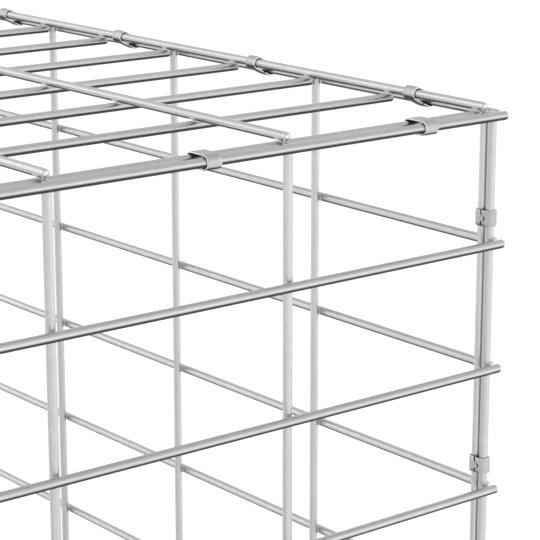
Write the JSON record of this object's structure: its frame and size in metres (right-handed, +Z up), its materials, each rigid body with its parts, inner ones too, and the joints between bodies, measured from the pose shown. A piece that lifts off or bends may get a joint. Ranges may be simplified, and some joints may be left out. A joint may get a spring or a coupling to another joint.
{
  "type": "gabion wall",
  "caption": "Empty welded wire gabion basket, a low wall of bays for stone fill: flat mesh panels lapped at every edge and held together by bent strip clips.",
  "frame": {"origin": "on the ground below the middle of the basket", "axes": "+X along the wall, +Y from the front to the back, +Z up"},
  "size_m": [1.0126, 0.4206, 0.4125],
  "materials": {
    "mesh_wire": "satin galvanised",
    "clip_strip": "satin galvanised"
  },
  "bodies": {
    "root": {"back_panel": "mesh_wire", "base_panel": "mesh_wire", "front_panel": "mesh_wire", "left_end_panel": "mesh_wire", "lid_panel": "mesh_wire", "partition_1_panel": "mesh_wire", "right_end_panel": "mesh_wire", "back_bottom_clips": "clip_strip", "back_left_corner_clips": "clip_strip", "back_right_corner_clips": "clip_strip", "back_top_clips": "clip_strip", "front_bottom_clips": "clip_strip", "front_left_corner_clips": "clip_strip", "front_right_corner_clips": "clip_strip", "front_top_clips": "clip_strip", "left_bottom_clips": "clip_strip", "left_top_clips": "clip_strip", "partition_1_back_clips": "clip_strip", "partition_1_bottom_clips": "clip_strip", "partition_1_front_clips": "clip_strip", "partition_1_top_clips": "clip_strip", "right_bottom_clips": "clip_strip", "right_top_clips": "clip_strip"}
  },
  "joints": []
}
